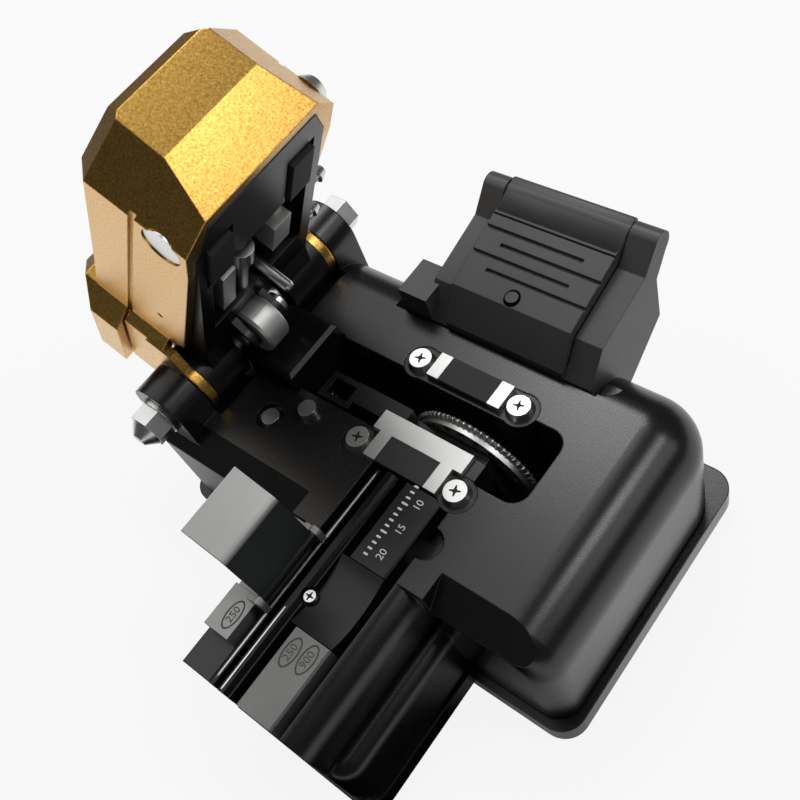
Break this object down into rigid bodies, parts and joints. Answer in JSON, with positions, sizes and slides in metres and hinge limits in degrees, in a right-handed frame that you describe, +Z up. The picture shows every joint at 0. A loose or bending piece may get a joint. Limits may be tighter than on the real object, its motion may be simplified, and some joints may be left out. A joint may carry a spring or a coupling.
{
  "type": "fibre cleaver",
  "caption": "Bench fibre cleaver with a gold sprung lever, toothed blade wheel on a sliding carriage, ruled fibre tray, rubber clamps and a bin for cut ends",
  "frame": {"origin": "on the bench, in the mat's underside, straight below the point where the fibre crosses the plane of the blade wheel", "axes": "X along the blade wheel's stroke with the lever's hinge on the -X side, Y along the fibre from the tray to the bin, Z up"},
  "size_m": [0.0993, 0.0873, 0.0864],
  "materials": {
    "black_casting": "black anodised, satin",
    "gold_anodised": "satin",
    "bright_steel": "polished",
    "satin_steel": "brushed",
    "black_rubber": "matte",
    "black_plastic": "satin"
  },
  "bodies": {
    "base": {"base_body": "black_casting", "base_plate": "black_casting", "base_mat": "black_rubber", "base_screws": "bright_steel", "near_clamp_block": "black_plastic", "near_clamp_pad": "black_rubber", "near_clamp_plate": "satin_steel", "far_clamp_block": "black_plastic", "far_clamp_pad": "black_rubber", "far_clamp_strips": "satin_steel", "clamp_screws": "bright_steel", "ruler_plate": "black_plastic", "guide_plate": "black_plastic", "saddle_block": "black_plastic", "groove_strip": "satin_steel", "tray_screw": "bright_steel", "tray_ledge": "black_plastic", "latch_magnet": "bright_steel", "lid_magnet": "bright_steel", "stop_pin": "bright_steel", "lid_hinge_pin": "bright_steel", "lever_axle": "bright_steel", "axle_nuts": "bright_steel", "axle_washers": "bright_steel", "block_spring": "bright_steel", "carriage_rail": "satin_steel", "carriage_spring": "bright_steel"},
    "lever": {"lever_cover": "gold_anodised", "lever_frame": "black_casting", "barrel_bushes": "black_plastic", "lever_spring": "bright_steel", "roller_pin": "bright_steel", "pad_springs": "bright_steel", "cover_screws": "bright_steel", "lever_screws": "bright_steel", "adjust_screw": "bright_steel", "lever_peg": "bright_steel"},
    "roller": {"press_roller": "satin_steel"},
    "near_pad": {"upper_near_holder": "satin_steel", "upper_near_pad": "black_rubber"},
    "far_pad": {"upper_far_holder": "satin_steel", "upper_far_pad": "black_rubber"},
    "block": {"push_block": "black_plastic"},
    "carriage": {"blade_carriage": "black_plastic", "blade_axle": "bright_steel", "hub_screw": "bright_steel"},
    "wheel": {"blade_wheel": "satin_steel", "index_ring": "black_plastic"},
    "tray_lid": {"fibre_lid": "satin_steel"},
    "bin": {"bin_box": "black_plastic", "bin_hinge_pin": "bright_steel"},
    "bin_cover": {"bin_lid": "black_plastic", "bin_lid_screw": "bright_steel"}
  },
  "joints": [
    {"name": "lever_hinge", "type": "hinge", "parent": "base", "child": "lever", "pos_m": [-0.0398, -0.001, 0.031], "axis": [0, 1, 0], "range_deg": [0, 60], "stiffness_Nm_per_rad": 0.03, "springref_deg": -40.11},
    {"name": "block_slide", "type": "slide", "parent": "base", "child": "block", "axis": [0, 0, -1], "range_m": [0, 0.0091], "deforming": ["block_spring"]},
    {"name": "carriage_slide", "type": "slide", "parent": "base", "child": "carriage", "axis": [-1, 0, 0], "range_m": [0, 0.00505], "deforming": ["carriage_spring"]},
    {"name": "wheel_turn", "type": "hinge", "parent": "carriage", "child": "wheel", "pos_m": [0.0036, 0, 0.01695], "axis": [0, 1, 0], "continuous": true},
    {"name": "roller_spin", "type": "hinge", "parent": "lever", "child": "roller", "pos_m": [-0.03245, -0.0035, 0.03634], "axis": [0, 1, 0], "continuous": true},
    {"name": "near_pad_slide", "type": "slide", "parent": "lever", "child": "near_pad", "axis": [-0.866, 0, 0.5], "range_m": [0, 0.0008], "stiffness_N_per_m": 400, "springref_m": -0.001},
    {"name": "far_pad_slide", "type": "slide", "parent": "lever", "child": "far_pad", "axis": [-0.866, 0, 0.5], "range_m": [0, 0.0008], "stiffness_N_per_m": 400, "springref_m": -0.001},
    {"name": "tray_lid_hinge", "type": "hinge", "parent": "base", "child": "tray_lid", "pos_m": [-0.0043, -0.0316, 0.0298], "axis": [0, 1, 0], "range_deg": [0, 113]},
    {"name": "bin_slide", "type": "slide", "parent": "base", "child": "bin", "axis": [0, 1, 0], "range_m": [0, 0.012]},
    {"name": "bin_lid_hinge", "type": "hinge", "parent": "bin", "child": "bin_cover", "pos_m": [0.00125, 0.0346, 0.0382], "axis": [-1, 0, 0], "range_deg": [0, 100]}
  ],
  "couplings": [
    {"joint": "block_slide", "follows": "lever_hinge", "m_per_rad": 0.0086421},
    {"joint": "carriage_slide", "follows": "lever_hinge", "m_per_rad": 0.0047747}
  ]
}
